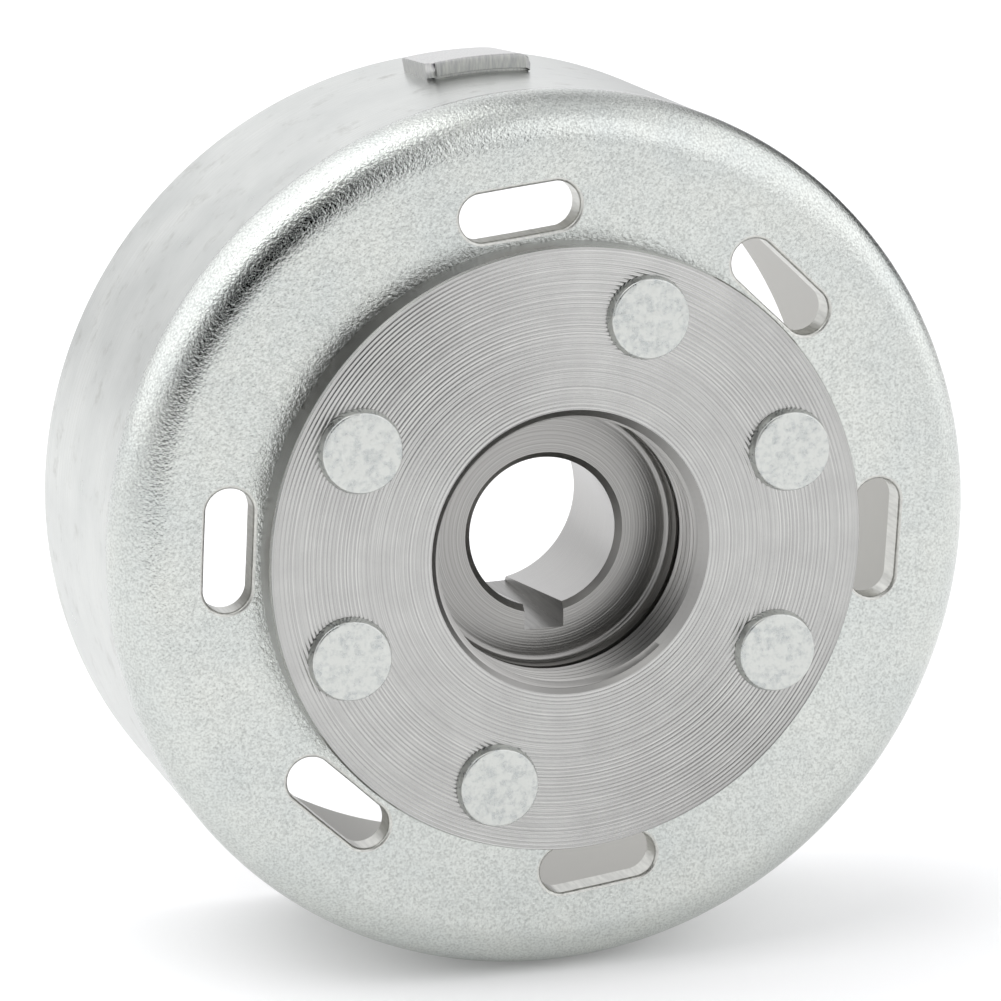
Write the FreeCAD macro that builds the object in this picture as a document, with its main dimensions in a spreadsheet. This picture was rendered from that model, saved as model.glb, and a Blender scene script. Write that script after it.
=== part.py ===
"""Outer-rotor magneto flywheel of a small engine.

The crankshaft axis is the Y axis.  The outer face of the hub lies in the XZ plane, +Y runs into
the engine, and +Z points from the axis towards the timing lug.  All lengths are in millimetres.
"""
import FreeCAD, Part
import os
import Sketcher

# name: (value, what it is)
DIMENSIONS = {
    "rim_diameter": (88.0, "outside of the cup at its open rim"),
    "closed_end_diameter": (87.0, "outside of the cup wall, run on to the plane of its closed face"),
    "flywheel_depth": (37.0, "hub face to open rim"),
    "corner_radius": (4.8, "rolled outer corner of the pressed cup"),
    "face_thickness": (2.6, "sheet thickness of the closed face"),
    "magnet_seat_diameter": (82.4, "turned inside of the cup wall"),
    "rim_chamfer": (0.4, "both edges of the open rim"),
    "flange_diameter": (59.4, "hub flange, outside the cup"),
    "flange_thickness": (3.6, "hub flange, which lies on the closed face"),
    "flange_chamfer": (0.4, "outer edge of the hub flange"),
    "boss_diameter": (34.0, "hub boss, a fit in the hole of the cup"),
    "boss_end_diameter": (28.0, "hub boss at its inner end"),
    "boss_shoulder_depth": (13.0, "hub face to the start of the slimmer end of the boss"),
    "boss_depth": (28.2, "hub face to the inner end of the boss"),
    "boss_chamfer": (0.8, "outer edge of the boss end"),
    "thread_minor_diameter": (25.92, "M27 x 1 puller thread, drawn at its minor diameter"),
    "mouth_diameter": (27.9, "chamfered mouth of the puller thread"),
    "thread_end_depth": (6.1, "hub face to the end of the puller thread"),
    "relief_diameter": (27.4, "thread relief groove"),
    "relief_width": (0.7, "thread relief groove"),
    "recess_depth": (8.7, "hub face to the nut seat"),
    "recess_fillet": (0.6, "corner between recess wall and nut seat"),
    "bore_small_diameter": (14.9, "taper bore where its entry chamfer ends"),
    "bore_entry_chamfer": (0.6, "edge between nut seat and taper bore"),
    "bore_taper": (5.0, "length of taper for one unit of diameter"),
    "bore_exit_chamfer": (0.5, "edge between taper bore and boss end"),
    "key_width": (4.0, "crankshaft key slot"),
    "key_floor": (9.6, "axis to the floor of the key slot"),
    "rivet_circle_diameter": (47.4, "circle through the rivets"),
    "rivet_angle": (-28.4, "first rivet, from +X towards +Z"),
    "group_step": (50.0, "angle between neighbours in a group of three"),
    "rivet_shank_diameter": (5.6, "rivet shank"),
    "rivet_head_diameter": (8.2, "flat outer rivet head"),
    "rivet_head_height": (1.0, "flat outer rivet head"),
    "rivet_head_round": (0.3, "edge of the outer rivet head"),
    "rivet_tail_diameter": (9.0, "upset rivet head inside the cup"),
    "rivet_tail_height": (1.8, "upset rivet head inside the cup"),
    "rivet_tail_chamfer": (0.6, "edge of the upset rivet head"),
    "slot_circle_diameter": (65.6, "circle through the middles of the slots"),
    "slot_angle": (-2.9, "first slot, from +X towards +Z"),
    "slot_length": (12.0, "overall length of a slot"),
    "slot_width": (4.65, "width of a slot"),
    "lug_start_angle": (87.1, "trailing end of the timing lug, from +X towards +Z"),
    "lug_sweep": (13.5, "angle that the timing lug covers"),
    "lug_top_diameter": (91.0, "circle through the top of the timing lug"),
    "lug_front_depth": (20.5, "hub face to the near side of the timing lug"),
    "lug_width": (9.0, "timing lug, along the axis"),
    "lug_round": (1.4, "rolled trailing end of the timing lug"),
    "liner_bore_diameter": (76.2, "inside of the sleeve that covers the magnets"),
    "liner_thickness": (0.45, "sheet of the magnet sleeve"),
    "liner_front_gap": (0.2, "closed face of the cup to the magnet sleeve"),
    "liner_rim_gap": (0.4, "open rim down to the flange of the magnet sleeve"),
    "cage_front_gap": (2.4, "closed face of the cup to the magnet cage"),
    "magnet_count": (12, "arc magnets round the wall"),
    "magnet_sweep": (27.0, "angle that one magnet covers"),
    "magnet_end_wall": (1.4, "cage beyond each end of a magnet"),
    "cut_margin": (1.0, "how far a cut runs on past the metal"),
}
PATTERN_GROUPS = 2
GROUP_SIZE = 3

# expressions that several sub-parts share
WALL_RADIUS_AT_FACE = "closed_end_diameter / 2"
CUP_FLOOR = "( flange_thickness + face_thickness )"
SLEEVE_OUTER = "liner_bore_diameter / 2 + liner_thickness"
MAGNET_SEAT = "magnet_seat_diameter / 2"
CAGE_FRONT = f"{CUP_FLOOR} + cage_front_gap"
CAGE_BACK = "flywheel_depth - liner_rim_gap - liner_thickness"
MAGNET_START = f"{CAGE_FRONT} + magnet_end_wall"
MAGNET_LENGTH = f"{CAGE_BACK} - ( {CAGE_FRONT} ) - 2 * magnet_end_wall"

# how closely a test has to agree: millimetres, cubic millimetres and cuts
SAME_PLACE = 0.02
LEAST_CUT = 0.001
CUT_COUNT_ERROR = 0.01

doc = FreeCAD.newDocument("flywheel")
dims = doc.addObject("Spreadsheet::Sheet", "dims")


def fill_sheet():
    """Write each driving dimension to a row of the sheet: its name, its value, its meaning."""
    for row, (name, (value, meaning)) in enumerate(DIMENSIONS.items(), start=1):
        dims.set(f"A{row}", name)
        dims.set(f"B{row}", str(value))
        dims.set(f"C{row}", meaning)
        dims.setAlias(f"B{row}", name)
    doc.recompute()


def value_of(expression):
    """The present value of an expression on the sheet, as a plain number."""
    result = dims.evalExpression(expression)
    return float(getattr(result, "Value", result))


def from_sheet(text):
    """Spell out which words of an expression are names on the sheet."""
    words = text.split(" ")
    return " ".join(f"dims.{word}" if word in DIMENSIONS else word for word in words)


def new_body(label):
    body = doc.addObject("PartDesign::Body", label)
    body.Label = label
    return body


def new_sketch(body, name, role):
    """A sketch on one of the body's own origin planes."""
    sketch = body.newObject("Sketcher::SketchObject", f"{body.Label}_{name}")
    plane = [item for item in body.Origin.OriginFeatures if item.Role == role][0]
    sketch.AttachmentSupport = [(plane, "")]
    sketch.MapMode = "FlatFace"
    return sketch


def bind(sketch, constraint, expression):
    """Add a dimension to a sketch and tie it to the sheet."""
    kind, *places = constraint
    index = sketch.addConstraint(Sketcher.Constraint(kind, *places, value_of(expression)))
    sketch.setExpression(f"Constraints[{index}]", expression)


def pin_point(sketch, place, across, up):
    """Hold a point of a sketch at two expressions, measured from the sketch's origin."""
    for kind, axis, expression in (("DistanceX", -2, across), ("DistanceY", -1, up)):
        if expression == "0":
            sketch.addConstraint(Sketcher.Constraint("PointOnObject", *place, axis))
        else:
            bind(sketch, (kind, -1, 1, *place), expression)


def outline(sketch, corners):
    """A closed outline of straight edges; each corner is a pair of expressions."""
    corners = [(from_sheet(across), from_sheet(up)) for across, up in corners]
    points = [FreeCAD.Vector(value_of(across), value_of(up), 0) for across, up in corners]
    count = len(points)
    edges = []
    for index in range(count):
        edge = Part.LineSegment(points[index], points[(index + 1) % count])
        edges.append(sketch.addGeometry(edge, False))
    for index in range(count):
        following = edges[(index + 1) % count]
        sketch.addConstraint(Sketcher.Constraint("Coincident", edges[index], 2, following, 1))
    for edge, (across, up) in zip(edges, corners):
        pin_point(sketch, (edge, 1), across, up)


def turn(body, name, corners):
    """Revolve an outline (radius, depth) about the crankshaft axis."""
    sketch = new_sketch(body, f"{name}_profile", "XY_Plane")
    outline(sketch, corners)
    feature = body.newObject("PartDesign::Revolution", f"{body.Label}_{name}")
    feature.Profile = sketch
    feature.ReferenceAxis = (sketch, ["V_Axis"])
    feature.Angle = 360.0
    sketch.Visibility = False
    doc.recompute()


def turn_out(body, name, corners):
    """Turn an outline (radius, depth) out of the body, and make sure that metal came off."""
    before = body.Shape.Volume
    sketch = new_sketch(body, f"{name}_profile", "XY_Plane")
    outline(sketch, corners)
    feature = body.newObject("PartDesign::Groove", f"{body.Label}_{name}")
    feature.Profile = sketch
    feature.ReferenceAxis = (sketch, ["V_Axis"])
    feature.Angle = 360.0
    doc.recompute()
    require_less(body, before, name)


def require_less(body, before, name):
    if not body.Shape.Volume < before - LEAST_CUT:
        raise RuntimeError(f"{body.Label}: {name} cuts nothing")


def cut_along_axis(body, name, sketch, depth):
    """Cut a sketch in the plane of the hub face into the body, along +Y."""
    before = body.Shape.Volume
    feature = body.newObject("PartDesign::Pocket", f"{body.Label}_{name}")
    feature.Profile = sketch
    feature.setExpression("Length", from_sheet(depth))
    doc.recompute()
    require_less(body, before, name)
    return feature


def face_sketch(body, name, angle):
    """A sketch in the plane of the hub face, turned so that its X axis points to an angle."""
    sketch = new_sketch(body, name, "XZ_Plane")
    sketch.AttachmentOffset = FreeCAD.Placement(
        FreeCAD.Vector(), FreeCAD.Rotation(FreeCAD.Vector(0, 0, 1), value_of(from_sheet(angle)))
    )
    sketch.setExpression("AttachmentOffset.Rotation.Angle", from_sheet(angle))
    return sketch


def two_groups_of_three(body, name, feature):
    """Repeat a cut as two groups of three, opposite each other across the axis."""
    before = body.Shape.Volume
    one_cut = feature.BaseFeature.Shape.Volume - before
    group = body.newObject("PartDesign::MultiTransform", f"{body.Label}_{name}")
    axis = (feature.Profile[0], ["N_Axis"])
    in_group = body.newObject("PartDesign::PolarPattern", f"{body.Label}_{name}_in_group")
    in_group.Axis = axis
    in_group.Mode = "Spacing"
    in_group.setExpression("Offset", "dims.group_step")
    in_group.Occurrences = GROUP_SIZE
    opposite = body.newObject("PartDesign::PolarPattern", f"{body.Label}_{name}_opposite")
    opposite.Axis = axis
    opposite.Angle = 360.0
    opposite.Occurrences = PATTERN_GROUPS
    group.Originals = [feature]
    group.Transformations = [in_group, opposite]
    body.Tip = group
    doc.recompute()
    cuts = 1 + (before - body.Shape.Volume) / one_cut
    if abs(cuts - GROUP_SIZE * PATTERN_GROUPS) > CUT_COUNT_ERROR:
        raise RuntimeError(f"{body.Label}: {name} made {cuts:.2f} cuts")


def round_edges(body, name, radius, is_wanted):
    """Round the edges of the body that a test picks out."""
    wanted = [f"Edge{index}" for index, edge in enumerate(body.Shape.Edges, start=1) if is_wanted(edge)]
    if not wanted:
        raise RuntimeError(f"{body.Label}: {name} finds no edge")
    feature = body.newObject("PartDesign::Fillet", f"{body.Label}_{name}")
    feature.Base = (feature.BaseFeature, wanted)
    feature.setExpression("Radius", from_sheet(radius))
    doc.recompute()


def circle_at(edge, radius, depth):
    """True for a full circle about the crankshaft axis with this radius, at this depth."""
    curve = edge.Curve
    return (
        isinstance(curve, Part.Circle)
        and abs(curve.Radius - value_of(from_sheet(radius))) < SAME_PLACE
        and abs(curve.Center.y - value_of(from_sheet(depth))) < SAME_PLACE
    )


def make_hub():
    """Hub: flange, boss, puller thread, nut seat, taper bore and key slot, turned from bar."""
    hub = new_body("hub")
    turn(hub, "blank", [
        ("0", "0"),
        ("flange_diameter / 2 - flange_chamfer", "0"),
        ("flange_diameter / 2", "flange_chamfer"),
        ("flange_diameter / 2", "flange_thickness"),
        ("boss_diameter / 2", "flange_thickness"),
        ("boss_diameter / 2", "boss_shoulder_depth"),
        ("boss_end_diameter / 2", "boss_shoulder_depth + boss_diameter / 2 - boss_end_diameter / 2"),
        ("boss_end_diameter / 2", "boss_depth - boss_chamfer"),
        ("boss_end_diameter / 2 - boss_chamfer", "boss_depth"),
        ("0", "boss_depth"),
    ])
    turn_out(hub, "puller_recess", [
        ("0", "-1 * cut_margin"),
        ("mouth_diameter / 2 + cut_margin", "-1 * cut_margin"),
        ("thread_minor_diameter / 2", "mouth_diameter / 2 - thread_minor_diameter / 2"),
        ("thread_minor_diameter / 2", "thread_end_depth"),
        ("relief_diameter / 2", "thread_end_depth"),
        ("relief_diameter / 2", "thread_end_depth + relief_width"),
        ("thread_minor_diameter / 2", "thread_end_depth + relief_width"),
        ("thread_minor_diameter / 2", "recess_depth - recess_fillet"),
        ("thread_minor_diameter / 2 - recess_fillet", "recess_depth"),
        ("0", "recess_depth"),
    ])
    taper_start = "recess_depth + bore_entry_chamfer"
    taper_end = "boss_depth - bore_exit_chamfer"
    exit_radius = f"bore_small_diameter / 2 + ( {taper_end} - ( {taper_start} ) ) / bore_taper / 2"
    turn_out(hub, "taper_bore", [
        ("0", "recess_depth"),
        ("bore_small_diameter / 2 + bore_entry_chamfer", "recess_depth"),
        ("bore_small_diameter / 2", taper_start),
        (exit_radius, taper_end),
        (f"{exit_radius} + bore_exit_chamfer", "boss_depth"),
        ("0", "boss_depth"),
    ])
    slot = new_sketch(hub, "key_slot_outline", "XZ_Plane")
    outline(slot, [
        ("-1 * key_width / 2", "0"),
        ("-1 * key_width / 2", "-1 * key_floor"),
        ("key_width / 2", "-1 * key_floor"),
        ("key_width / 2", "0"),
    ])
    cut_along_axis(hub, "key_slot", slot, "boss_depth + cut_margin")
    two_groups_of_three(hub, "rivet_holes", rivet_hole(hub, "flange_thickness + cut_margin"))


def rivet_hole(body, depth):
    """The first rivet hole, at its angle on the rivet circle."""
    sketch = face_sketch(body, "rivet_hole_outline", "rivet_angle")
    radius = value_of("dims.rivet_shank_diameter / 2")
    centre = FreeCAD.Vector(value_of("dims.rivet_circle_diameter / 2"), 0, 0)
    circle = sketch.addGeometry(Part.Circle(centre, FreeCAD.Vector(0, 0, 1), radius), False)
    bind(sketch, ("Radius", circle), "dims.rivet_shank_diameter / 2")
    pin_point(sketch, (circle, 3), "dims.rivet_circle_diameter / 2", "0")
    return cut_along_axis(body, "rivet_hole", sketch, depth)


def make_cup():
    """Cup: drawn from sheet, wall and rim turned, slots, rivet holes and hub hole punched."""
    cup = new_body("rotor_cup")
    turn(cup, "drawing", [
        ("boss_diameter / 2", "flange_thickness"),
        (WALL_RADIUS_AT_FACE, "flange_thickness"),
        ("rim_diameter / 2", "flywheel_depth - rim_chamfer"),
        ("rim_diameter / 2 - rim_chamfer", "flywheel_depth"),
        (f"{MAGNET_SEAT} + rim_chamfer", "flywheel_depth"),
        (MAGNET_SEAT, "flywheel_depth - rim_chamfer"),
        (MAGNET_SEAT, CUP_FLOOR),
        ("boss_diameter / 2", CUP_FLOOR),
    ])
    round_edges(cup, "outer_corner", "corner_radius",
                lambda edge: circle_at(edge, WALL_RADIUS_AT_FACE, "flange_thickness"))
    round_edges(cup, "inner_corner", "corner_radius - face_thickness",
                lambda edge: circle_at(edge, MAGNET_SEAT, CUP_FLOOR))
    depth = f"{CUP_FLOOR} + cut_margin"
    two_groups_of_three(cup, "rivet_holes", rivet_hole(cup, depth))
    two_groups_of_three(cup, "slots", slot_cut(cup, depth))


def slot_cut(cup, depth):
    """The first slot: two straight sides square to its radius, closed by two half circles."""
    sketch = face_sketch(cup, "slot_outline", "slot_angle")
    middle = value_of("dims.slot_circle_diameter / 2")
    half_width = value_of("dims.slot_width / 2")
    half_straight = value_of("( dims.slot_length - dims.slot_width ) / 2")
    up = FreeCAD.Vector(0, 0, 1)
    sides = []
    ends = []
    for side in (1, -1):
        start = FreeCAD.Vector(middle + side * half_width, -side * half_straight, 0)
        finish = FreeCAD.Vector(middle + side * half_width, side * half_straight, 0)
        sides.append(sketch.addGeometry(Part.LineSegment(start, finish), False))
        centre = FreeCAD.Vector(middle, side * half_straight, 0)
        sweep = (0.0, 180.0) if side > 0 else (180.0, 360.0)
        arc = Part.ArcOfCircle(Part.Circle(centre, up, half_width), *map(to_radians, sweep))
        ends.append(sketch.addGeometry(arc, False))
    for index in (0, 1):
        sketch.addConstraint(Sketcher.Constraint("Tangent", sides[index], 2, ends[index], 1))
        sketch.addConstraint(Sketcher.Constraint("Tangent", ends[index], 2, sides[1 - index], 1))
    bind(sketch, ("Radius", ends[0]), "dims.slot_width / 2")
    pin_point(sketch, (ends[0], 3), "dims.slot_circle_diameter / 2",
              "( dims.slot_length - dims.slot_width ) / 2")
    pin_point(sketch, (ends[1], 3), "dims.slot_circle_diameter / 2",
              "-1 * ( dims.slot_length - dims.slot_width ) / 2")
    return cut_along_axis(cup, "slot", sketch, depth)


def to_radians(degrees):
    return FreeCAD.Units.Quantity(f"{degrees} deg").getValueAs("rad").Value


def make_rivets():
    """Six steel rivets through flange and cup, each turned to its own place on the circle."""
    for index in range(GROUP_SIZE * PATTERN_GROUPS):
        rivet = new_body(f"rivet_{index + 1}")
        turn(rivet, "blank", [
            ("0", "-1 * rivet_head_height"),
            ("rivet_head_diameter / 2", "-1 * rivet_head_height"),
            ("rivet_head_diameter / 2", "0"),
            ("rivet_shank_diameter / 2", "0"),
            ("rivet_shank_diameter / 2", CUP_FLOOR),
            ("rivet_tail_diameter / 2", CUP_FLOOR),
            ("rivet_tail_diameter / 2", f"{CUP_FLOOR} + rivet_tail_height - rivet_tail_chamfer"),
            ("rivet_tail_diameter / 2 - rivet_tail_chamfer", f"{CUP_FLOOR} + rivet_tail_height"),
            ("0", f"{CUP_FLOOR} + rivet_tail_height"),
        ])
        round_edges(rivet, "head_edge", "rivet_head_round",
                    lambda edge: circle_at(edge, "rivet_head_diameter / 2", "-1 * rivet_head_height"))
        group, place = divmod(index, GROUP_SIZE)
        angle = f"( dims.rivet_angle + {place} * dims.group_step + {group} * 180 )"
        rivet.setExpression("Placement.Base.x", f"dims.rivet_circle_diameter / 2 * cos({angle} * 1 deg)")
        rivet.setExpression("Placement.Base.z", f"dims.rivet_circle_diameter / 2 * sin({angle} * 1 deg)")


def sector(sketch, inner, outer, start, sweep):
    """A closed piece of a ring between two angles, all four measures as expressions."""
    inner_radius, outer_radius = value_of(inner), value_of(outer)
    first, last = value_of(start), value_of(f"{start} + {sweep}")
    angles = (to_radians(first), to_radians(last))
    up = FreeCAD.Vector(0, 0, 1)
    origin = FreeCAD.Vector()
    arcs = []
    for radius, expression in ((inner_radius, inner), (outer_radius, outer)):
        arc = Part.ArcOfCircle(Part.Circle(origin, up, radius), *angles)
        arcs.append(sketch.addGeometry(arc, False))
        sketch.addConstraint(Sketcher.Constraint("Coincident", arcs[-1], 3, -1, 1))
        bind(sketch, ("Radius", arcs[-1]), expression)
    for end, angle in ((1, start), (2, f"{start} + {sweep}")):
        corners = [sketch.getPoint(arc, end) for arc in arcs]
        side = sketch.addGeometry(Part.LineSegment(*corners), False)
        sketch.addConstraint(Sketcher.Constraint("Coincident", side, 1, arcs[0], end))
        sketch.addConstraint(Sketcher.Constraint("Coincident", side, 2, arcs[1], end))
        sketch.addConstraint(Sketcher.Constraint("PointOnObject", -1, 1, side))
        index = sketch.addConstraint(
            Sketcher.Constraint("Angle", -1, 1, side, 1, to_radians(value_of(angle)))
        )
        sketch.setExpression(f"Constraints[{index}]", f"({angle}) * 1 deg")


def pad_along_axis(body, name, sketch, start, length):
    """Raise a sketch in the plane of the hub face to a bar along +Y, from a depth."""
    sketch.setExpression("AttachmentOffset.Base.z", f"-1 * ({from_sheet(start)})")
    feature = body.newObject("PartDesign::Pad", f"{body.Label}_{name}")
    feature.Profile = sketch
    feature.Reversed = True
    feature.setExpression("Length", from_sheet(length))
    doc.recompute()
    return feature


def make_lug():
    """Timing lug: a sheared steel block, projection-welded to the wall of the cup."""
    lug = new_body("timing_lug")
    sketch = new_sketch(lug, "plan", "XZ_Plane")
    sector(sketch, "dims.closed_end_diameter / 2 - dims.cut_margin", "dims.lug_top_diameter / 2",
           "dims.lug_start_angle", "dims.lug_sweep")
    pad_along_axis(lug, "block", sketch, "lug_front_depth", "lug_width")
    turn_out(lug, "seat", [
        ("0", "flange_thickness"),
        (WALL_RADIUS_AT_FACE, "flange_thickness"),
        ("rim_diameter / 2", "flywheel_depth - rim_chamfer"),
        ("0", "flywheel_depth - rim_chamfer"),
    ])
    top = value_of("dims.lug_top_diameter / 2")

    def is_trailing_edge(edge):
        start, end = (vertex.Point for vertex in edge.Vertexes)
        lies_along_axis = abs(end.x - start.x) < SAME_PLACE and abs(end.z - start.z) < SAME_PLACE
        radius = FreeCAD.Vector(start.x, 0, start.z).Length
        return lies_along_axis and abs(radius - top) < SAME_PLACE and start.x > 0

    round_edges(lug, "trailing_end", "lug_round", is_trailing_edge)


def make_magnets():
    """Arc magnets, all alike, spaced evenly round the wall."""
    for index in range(int(value_of("dims.magnet_count"))):
        magnet = new_body(f"magnet_{index + 1}")
        sketch = new_sketch(magnet, "plan", "XZ_Plane")
        sector(sketch, from_sheet(SLEEVE_OUTER), from_sheet(MAGNET_SEAT),
               "0 - dims.magnet_sweep / 2", "dims.magnet_sweep")
        pad_along_axis(magnet, "block", sketch, MAGNET_START, MAGNET_LENGTH)
        magnet.Placement = FreeCAD.Placement(
            FreeCAD.Vector(), FreeCAD.Rotation(FreeCAD.Vector(0, -1, 0), 1.0)
        )
        magnet.setExpression("Placement.Rotation.Angle", f"{index} * 360 / dims.magnet_count")


def make_cage():
    """Magnet cage: a moulded ring with one window for each magnet."""
    cage = new_body("magnet_cage")
    turn(cage, "ring", [
        (SLEEVE_OUTER, CAGE_FRONT),
        (MAGNET_SEAT, CAGE_FRONT),
        (MAGNET_SEAT, CAGE_BACK),
        (SLEEVE_OUTER, CAGE_BACK),
    ])
    sketch = new_sketch(cage, "window_plan", "XZ_Plane")
    sector(sketch, from_sheet(f"{SLEEVE_OUTER} - cut_margin"), from_sheet(f"{MAGNET_SEAT} + cut_margin"),
           "0 - dims.magnet_sweep / 2", "dims.magnet_sweep")
    sketch.setExpression("AttachmentOffset.Base.z", from_sheet(f"-1 * ( {MAGNET_START} )"))
    window = cut_along_axis(cage, "window", sketch, MAGNET_LENGTH)
    all_round(cage, window, "dims.magnet_count")


def all_round(body, feature, count):
    """Repeat a cut evenly all the way round the axis."""
    pattern = body.newObject("PartDesign::PolarPattern", f"{body.Label}_pattern")
    pattern.Originals = [feature]
    pattern.Axis = (feature.Profile[0], ["N_Axis"])
    pattern.Angle = 360.0
    pattern.setExpression("Occurrences", count)
    body.Tip = pattern
    doc.recompute()


def make_liner():
    """Magnet sleeve: thin stainless tube with a flange turned out over the cage at the rim."""
    liner = new_body("magnet_sleeve")
    inner = "liner_bore_diameter / 2"
    front = f"{CUP_FLOOR} + liner_front_gap"
    back = "flywheel_depth - liner_rim_gap"
    turn(liner, "pressing", [
        (inner, front),
        (SLEEVE_OUTER, front),
        (SLEEVE_OUTER, CAGE_BACK),
        (MAGNET_SEAT, CAGE_BACK),
        (MAGNET_SEAT, back),
        (inner, back),
    ])


def sub_parts():
    return [item for item in doc.Objects if item.TypeId == "PartDesign::Body"]


def check_and_write():
    """Stop on any failed object or bad solid, then write one STEP file for each sub-part."""
    doc.recompute()
    failed = [item.Name for item in doc.Objects if {"Invalid", "Error"} & set(item.State)]
    if failed:
        raise RuntimeError(f"failed objects: {failed}")
    for body in sub_parts():
        shape = body.Shape
        if shape.isNull() or not shape.isValid() or len(shape.Solids) != 1:
            raise RuntimeError(f"{body.Label} is not one valid solid")
    os.makedirs("parts", exist_ok=True)
    for body in sub_parts():
        body.Shape.exportStep(f"parts/{body.Label}.step")
        box = body.Shape.BoundBox
        print(f"{body.Label}: {body.Shape.Volume:.1f} mm3,"
              f" x {box.XMin:.2f}..{box.XMax:.2f},"
              f" y {box.YMin:.2f}..{box.YMax:.2f},"
              f" z {box.ZMin:.2f}..{box.ZMax:.2f}")


fill_sheet()
make_hub()
make_cup()
make_rivets()
make_lug()
make_magnets()
make_cage()
make_liner()
check_and_write()
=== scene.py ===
import math
import random

import bpy
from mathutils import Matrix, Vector


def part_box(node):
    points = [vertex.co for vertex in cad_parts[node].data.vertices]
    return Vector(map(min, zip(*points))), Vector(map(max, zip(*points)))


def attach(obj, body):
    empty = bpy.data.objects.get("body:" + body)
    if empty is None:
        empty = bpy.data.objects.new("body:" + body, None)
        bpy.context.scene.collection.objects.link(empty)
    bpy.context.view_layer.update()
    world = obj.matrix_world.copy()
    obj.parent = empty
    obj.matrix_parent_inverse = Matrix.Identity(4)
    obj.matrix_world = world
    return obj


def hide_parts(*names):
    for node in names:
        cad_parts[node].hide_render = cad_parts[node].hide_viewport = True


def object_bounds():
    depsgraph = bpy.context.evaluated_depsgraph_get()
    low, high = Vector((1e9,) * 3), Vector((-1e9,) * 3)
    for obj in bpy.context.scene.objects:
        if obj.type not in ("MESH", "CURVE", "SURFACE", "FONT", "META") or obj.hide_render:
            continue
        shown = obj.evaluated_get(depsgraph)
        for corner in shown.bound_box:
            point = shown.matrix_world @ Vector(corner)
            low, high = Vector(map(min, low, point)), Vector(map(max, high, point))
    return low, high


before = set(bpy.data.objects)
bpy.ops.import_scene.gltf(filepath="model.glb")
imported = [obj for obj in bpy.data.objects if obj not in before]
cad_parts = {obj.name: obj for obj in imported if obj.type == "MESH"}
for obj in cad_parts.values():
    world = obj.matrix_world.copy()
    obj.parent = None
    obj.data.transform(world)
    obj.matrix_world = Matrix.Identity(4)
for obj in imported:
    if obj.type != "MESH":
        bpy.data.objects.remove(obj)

MM = 0.001
cad_low, cad_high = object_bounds()


# ---- Camera -------------------------------------------------------------------------------------
# It stands to the left of the crankshaft axis and a little above it, and looks at the hub face.
CAMERA_PLACE = Vector((-114.874, -348.606, 89.864)) * MM
CAMERA_TARGET = Vector((-6.192, 3.095, 4.892)) * MM
CAMERA_LENS = 142.13

looking = (CAMERA_TARGET - CAMERA_PLACE).to_track_quat("-Z", "Y").to_euler()
bpy.ops.object.camera_add(location=CAMERA_PLACE, rotation=looking)
camera = bpy.context.object
camera.data.lens = CAMERA_LENS
camera.data.sensor_width = 36
camera.data.clip_start = 10 * MM
camera.data.clip_end = 20
bpy.context.scene.camera = camera
bpy.context.scene.view_settings.view_transform = "Standard"


# ---- Stage --------------------------------------------------------------------------------------
# A pale floor under the rim, and soft light from all round as in a light tent.  Four walls of the
# tent are lit; the gaps between them stay dark, and give the rolled corner of the cup its bands.
EVEN_LIGHT = 0.90
FLOOR_SIZE = 8
FLOOR_GLOW = 0.12
LAMP_SIZE = 1.2
LAMP_POWER = 4


def to_linear(hex_colour):
    """An sRGB hex colour as linear RGBA."""
    channels = [int(hex_colour[place:place + 2], 16) / 255 for place in (1, 3, 5)]
    return (*[c / 12.92 if c <= 0.04045 else ((c + 0.055) / 1.055) ** 2.4 for c in channels], 1.0)


def add_node(tree, kind, settings, links):
    """Add a node, set its own settings and its inputs (by name or number), and link its inputs."""
    node = tree.nodes.new(kind)
    for name, value in settings.items():
        if isinstance(name, str) and hasattr(node, name):
            setattr(node, name, value)
        else:
            node.inputs[name].default_value = value
    for name, source in links.items():
        tree.links.new(source, node.inputs[name])
    return node


def new_material(name):
    """An empty material under this name, and its node tree."""
    material = bpy.data.materials.new(name)
    material.use_nodes = True
    material.node_tree.nodes.clear()
    return material, material.node_tree


def finish_material(tree, settings, links):
    """Close a material with one Principled shader."""
    shader = add_node(tree, "ShaderNodeBsdfPrincipled", settings, links)
    add_node(tree, "ShaderNodeOutputMaterial", {}, {"Surface": shader.outputs["BSDF"]})


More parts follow.
